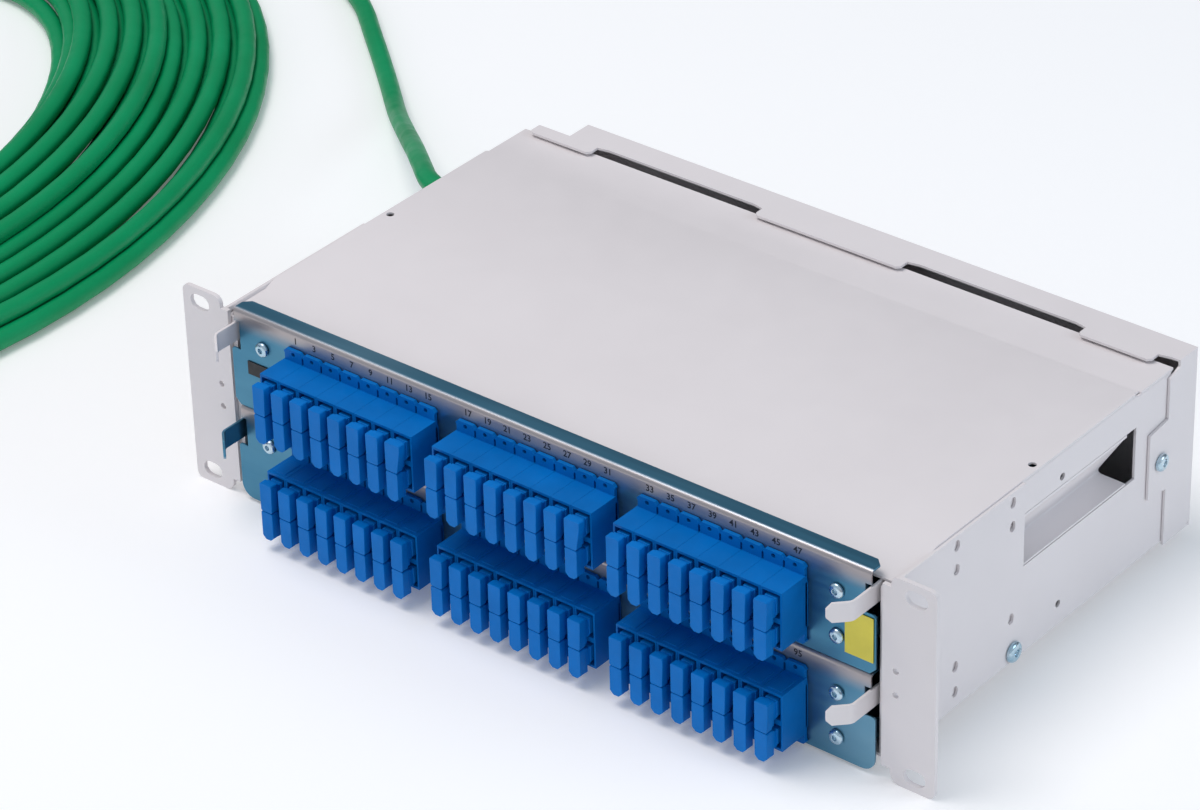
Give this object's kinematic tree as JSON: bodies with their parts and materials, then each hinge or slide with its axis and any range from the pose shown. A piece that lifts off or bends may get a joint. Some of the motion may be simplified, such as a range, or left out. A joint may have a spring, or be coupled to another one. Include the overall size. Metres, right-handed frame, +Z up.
{
  "type": "fibre-optic patch panel",
  "caption": "Rack-mount fibre patch panel: sheet-metal chassis with mounting ears, two slide-out trays of capped adapters, squeeze latches, and a coiled trunk cable.",
  "frame": {"origin": "bottom centre of the panel's box without its trunk cable: half way between the ears, half way between the dust caps' front and the rear cover's back, level with the ears' lower ends", "axes": "+X to the right as seen from the front, +Y from the front to the rear, +Z up"},
  "size_m": [1.2169, 0.7337, 0.1215],
  "materials": {
    "painted_sheet": "fine-textured warm light-grey powder coat",
    "zinc_steel": "blue-passivated zinc plate, softly brushed",
    "adapter_blue": "moulded satin blue plastic",
    "cap_blue": "moulded satin blue plastic",
    "zinc_screw": "bright blue-passivated zinc",
    "cable_green": "satin halogen-free cable jacket",
    "black_trim": "matt black",
    "yellow_film": "glossy yellow film",
    "grey_plastic": "matt dark grey plastic"
  },
  "bodies": {
    "chassis": {"cable_coil": "cable_green", "cable_end_cap": "grey_plastic", "cable_gland": "grey_plastic", "cable_tail": "cable_green", "cable_trough": "painted_sheet", "chassis_base": "painted_sheet", "coil_tie_front": "black_trim", "coil_tie_rear": "black_trim", "ear_left": "painted_sheet", "ear_right": "painted_sheet", "ear_screw_left": "zinc_screw", "ear_screw_right": "zinc_screw", "lower_rail_left": "zinc_steel", "lower_rail_right": "zinc_steel", "rear_cover": "painted_sheet", "rear_cover_screw": "zinc_screw", "top_cover": "painted_sheet", "trunk_cable": "cable_green", "upper_rail_left": "zinc_steel", "upper_rail_right": "zinc_steel"},
    "lower_tray": {"lower_adapters_left": "adapter_blue", "lower_adapters_middle": "adapter_blue", "lower_adapters_right": "adapter_blue", "lower_fanout_block": "grey_plastic", "lower_front_plate": "zinc_steel", "lower_plate_screw_left_bottom": "zinc_screw", "lower_plate_screw_left_top": "zinc_screw", "lower_plate_screw_right_bottom": "zinc_screw", "lower_plate_screw_right_top": "zinc_screw", "lower_splice_cassette": "grey_plastic", "lower_tray": "zinc_steel"},
    "upper_tray": {"blank_label": "black_trim", "upper_adapters_left": "adapter_blue", "upper_adapters_middle": "adapter_blue", "upper_adapters_right": "adapter_blue", "upper_fanout_block": "grey_plastic", "upper_front_plate": "zinc_steel", "upper_plate_screw_left_bottom": "zinc_screw", "upper_plate_screw_left_top": "zinc_screw", "upper_plate_screw_right_bottom": "zinc_screw", "upper_plate_screw_right_top": "zinc_screw", "upper_splice_cassette": "grey_plastic", "upper_tray": "zinc_steel", "yellow_sticker": "yellow_film"},
    "lower_lever_left": {"lower_latch_lever_left": "painted_sheet"},
    "lower_lever_right": {"lower_latch_lever_right": "painted_sheet"},
    "lower_dust_caps_left": {"lower_caps_left": "cap_blue"},
    "lower_dust_caps_middle": {"lower_caps_middle": "cap_blue"},
    "lower_dust_caps_right": {"lower_caps_right": "cap_blue"},
    "upper_lever_left": {"upper_latch_lever_left": "painted_sheet"},
    "upper_lever_right": {"upper_latch_lever_right": "painted_sheet"},
    "upper_dust_caps_left": {"upper_caps_left": "cap_blue"},
    "upper_dust_caps_middle": {"upper_caps_middle": "cap_blue"},
    "upper_dust_caps_right": {"upper_caps_right": "cap_blue"}
  },
  "joints": [
    {"name": "lower_tray_slide", "type": "slide", "parent": "chassis", "child": "lower_tray", "axis": [0, -1, 0], "range_m": [0, 0.18]},
    {"name": "lower_lever_left_squeeze", "type": "hinge", "parent": "lower_tray", "child": "lower_lever_left", "pos_m": [-0.20675, -0.0905, 0.04525], "axis": [0, 0, 1], "range_deg": [0, 4.5], "stiffness_Nm_per_rad": 1.5},
    {"name": "lower_lever_right_squeeze", "type": "hinge", "parent": "lower_tray", "child": "lower_lever_right", "pos_m": [0.20675, -0.0905, 0.04525], "axis": [0, 0, -1], "range_deg": [0, 4.5], "stiffness_Nm_per_rad": 1.5},
    {"name": "lower_caps_left_pull", "type": "slide", "parent": "lower_tray", "child": "lower_dust_caps_left", "axis": [0, -1, 0], "range_m": [0, 0.025]},
    {"name": "lower_caps_middle_pull", "type": "slide", "parent": "lower_tray", "child": "lower_dust_caps_middle", "axis": [0, -1, 0], "range_m": [0, 0.025]},
    {"name": "lower_caps_right_pull", "type": "slide", "parent": "lower_tray", "child": "lower_dust_caps_right", "axis": [0, -1, 0], "range_m": [0, 0.025]},
    {"name": "upper_tray_slide", "type": "slide", "parent": "chassis", "child": "upper_tray", "axis": [0, -1, 0], "range_m": [0, 0.18]},
    {"name": "upper_lever_left_squeeze", "type": "hinge", "parent": "upper_tray", "child": "upper_lever_left", "pos_m": [-0.20675, -0.0905, 0.10545], "axis": [0, 0, 1], "range_deg": [0, 4.5], "stiffness_Nm_per_rad": 1.5},
    {"name": "upper_lever_right_squeeze", "type": "hinge", "parent": "upper_tray", "child": "upper_lever_right", "pos_m": [0.20675, -0.0905, 0.10545], "axis": [0, 0, -1], "range_deg": [0, 4.5], "stiffness_Nm_per_rad": 1.5},
    {"name": "upper_caps_left_pull", "type": "slide", "parent": "upper_tray", "child": "upper_dust_caps_left", "axis": [0, -1, 0], "range_m": [0, 0.025]},
    {"name": "upper_caps_middle_pull", "type": "slide", "parent": "upper_tray", "child": "upper_dust_caps_middle", "axis": [0, -1, 0], "range_m": [0, 0.025]},
    {"name": "upper_caps_right_pull", "type": "slide", "parent": "upper_tray", "child": "upper_dust_caps_right", "axis": [0, -1, 0], "range_m": [0, 0.025]}
  ]
}
